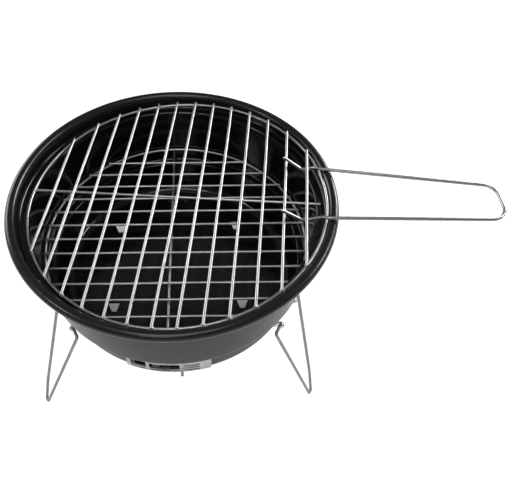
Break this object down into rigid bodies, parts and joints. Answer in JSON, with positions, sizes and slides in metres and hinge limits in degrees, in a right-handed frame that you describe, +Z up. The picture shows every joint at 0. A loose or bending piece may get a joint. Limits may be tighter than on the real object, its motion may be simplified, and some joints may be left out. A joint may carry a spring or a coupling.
{
  "type": "portable tabletop charcoal grill",
  "caption": "Small round enamelled charcoal grill bowl on folding V-shaped wire legs, with charcoal grate, wire cooking grate, loose lifting handle and sliding air vent.",
  "frame": {"origin": "centre of the heat shield's flat underside, on the bowl's axis", "axes": "+Z up along the bowl's axis, +X towards the lifting handle, -Y towards the air vent"},
  "size_m": [0.3963, 0.2874, 0.2311],
  "materials": {
    "black_enamel": "glossy porcelain enamel",
    "galvanised": "zinc-coated sheet with faint spangle",
    "rivet_steel": "bright zinc",
    "plated_wire": "bright nickel-chrome plated wire",
    "charcoal_wire": "plated wire, a little duller",
    "leg_wire": "satin zinc-plated wire",
    "handle_wire": "plated wire, warm grey"
  },
  "bodies": {
    "bowl_body": {"bowl": "black_enamel", "heat_shield": "galvanised", "leg_bracket_left": "galvanised", "leg_bracket_right": "galvanised", "leg_bracket_rear": "galvanised", "bracket_rivets_left": "rivet_steel", "bracket_rivets_right": "rivet_steel", "bracket_rivets_rear": "rivet_steel", "vent_rivets": "rivet_steel"},
    "left_leg": {"leg_left": "leg_wire"},
    "right_leg": {"leg_right": "leg_wire"},
    "rear_leg": {"leg_rear": "leg_wire"},
    "damper": {"vent_damper": "galvanised", "damper_tab": "galvanised"},
    "charcoal_grate": {"charcoal_grate_ring": "charcoal_wire", "charcoal_grate_bars": "charcoal_wire", "charcoal_grate_cross_bar": "charcoal_wire"},
    "cooking_grate": {"cooking_grate_ring": "plated_wire", "cooking_grate_bars": "plated_wire", "cooking_grate_cross_bar": "plated_wire"},
    "handle": {"lifting_handle": "handle_wire"}
  },
  "joints": [
    {"name": "leg_left_fold", "type": "hinge", "parent": "bowl_body", "child": "left_leg", "pos_m": [-0.09692, -0.05307, 0.012], "axis": [0.4802, -0.8771, 0], "range_deg": [0, 62]},
    {"name": "leg_right_fold", "type": "hinge", "parent": "bowl_body", "child": "right_leg", "pos_m": [0.09521, -0.05608, 0.012], "axis": [0.5075, 0.8616, 0], "range_deg": [0, 62]},
    {"name": "leg_rear_fold", "type": "hinge", "parent": "bowl_body", "child": "rear_leg", "pos_m": [0, 0.1105, 0.012], "axis": [-1, 0, 0], "range_deg": [0, 62]},
    {"name": "damper_turn", "type": "hinge", "parent": "bowl_body", "child": "damper", "pos_m": [0, 0, 0.02], "axis": [0, 0, 1], "range_deg": [-5.5, 5.5]},
    {"name": "charcoal_grate_lift", "type": "slide", "parent": "bowl_body", "child": "charcoal_grate", "axis": [0, 0, 1], "range_m": [0, 0.12]},
    {"name": "cooking_grate_lift", "type": "slide", "parent": "charcoal_grate", "child": "cooking_grate", "axis": [0, 0, 1], "range_m": [0, 0.12]},
    {"name": "handle_play", "type": "slide", "parent": "cooking_grate", "child": "handle", "axis": [0.9943, -0.1063, 0], "range_m": [-0.0015, 0.0015]}
  ]
}
